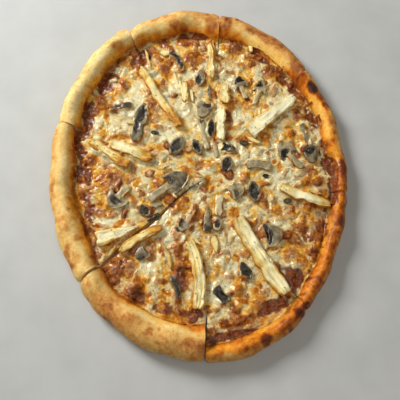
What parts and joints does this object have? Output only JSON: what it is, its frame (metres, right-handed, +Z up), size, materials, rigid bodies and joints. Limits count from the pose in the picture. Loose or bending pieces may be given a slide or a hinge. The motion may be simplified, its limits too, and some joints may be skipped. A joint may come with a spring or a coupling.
{
  "type": "chicken mushroom pizza",
  "caption": "Whole oval pizza cut in slices that lie together, with a puffed rim, browned melted cheese, chicken strips and sliced mushrooms",
  "frame": {"origin": "middle of the outline, on the flat underside", "axes": "+Z up out of the toppings, +Y along the longer side of the oval, +X along the shorter side"},
  "size_m": [0.2996, 0.373, 0.0261],
  "materials": {
    "crust": "baked dough, golden with browned patches and a few char spots",
    "cheese": "melted cheese, glossy, cream to browned, with tomato sauce near the rim",
    "chicken": "roast chicken strips, pale and fibrous with golden edges",
    "mushroom": "baked mushroom slices, grey brown with dark gills"
  },
  "bodies": {
    "root": {"dough_1": "crust", "dough_2": "crust", "dough_3": "crust", "dough_4": "crust", "dough_5": "crust", "dough_6": "crust", "dough_7": "crust", "dough_8": "crust", "cheese_1": "cheese", "cheese_2": "cheese", "cheese_3": "cheese", "cheese_4": "cheese", "cheese_5": "cheese", "cheese_6": "cheese", "cheese_7": "cheese", "cheese_8": "cheese", "chicken_1": "chicken", "chicken_2": "chicken", "chicken_3": "chicken", "chicken_4": "chicken", "chicken_5": "chicken", "chicken_6": "chicken", "chicken_7": "chicken", "chicken_8": "chicken", "chicken_9": "chicken", "chicken_10": "chicken", "chicken_11": "chicken", "chicken_12": "chicken", "chicken_13": "chicken", "mushroom_1": "mushroom", "mushroom_2": "mushroom", "mushroom_3": "mushroom", "mushroom_4": "mushroom", "mushroom_5": "mushroom", "mushroom_6": "mushroom", "mushroom_7": "mushroom", "mushroom_8": "mushroom", "mushroom_9": "mushroom", "mushroom_10": "mushroom", "mushroom_11": "mushroom", "mushroom_12": "mushroom", "mushroom_13": "mushroom", "mushroom_14": "mushroom", "mushroom_15": "mushroom", "mushroom_16": "mushroom", "mushroom_17": "mushroom", "mushroom_18": "mushroom", "mushroom_19": "mushroom", "mushroom_20": "mushroom", "mushroom_21": "mushroom", "mushroom_22": "mushroom", "mushroom_23": "mushroom", "mushroom_24": "mushroom", "mushroom_25": "mushroom", "mushroom_26": "mushroom", "mushroom_27": "mushroom", "mushroom_28": "mushroom", "mushroom_29": "mushroom", "mushroom_30": "mushroom", "mushroom_31": "mushroom"}
  },
  "joints": []
}
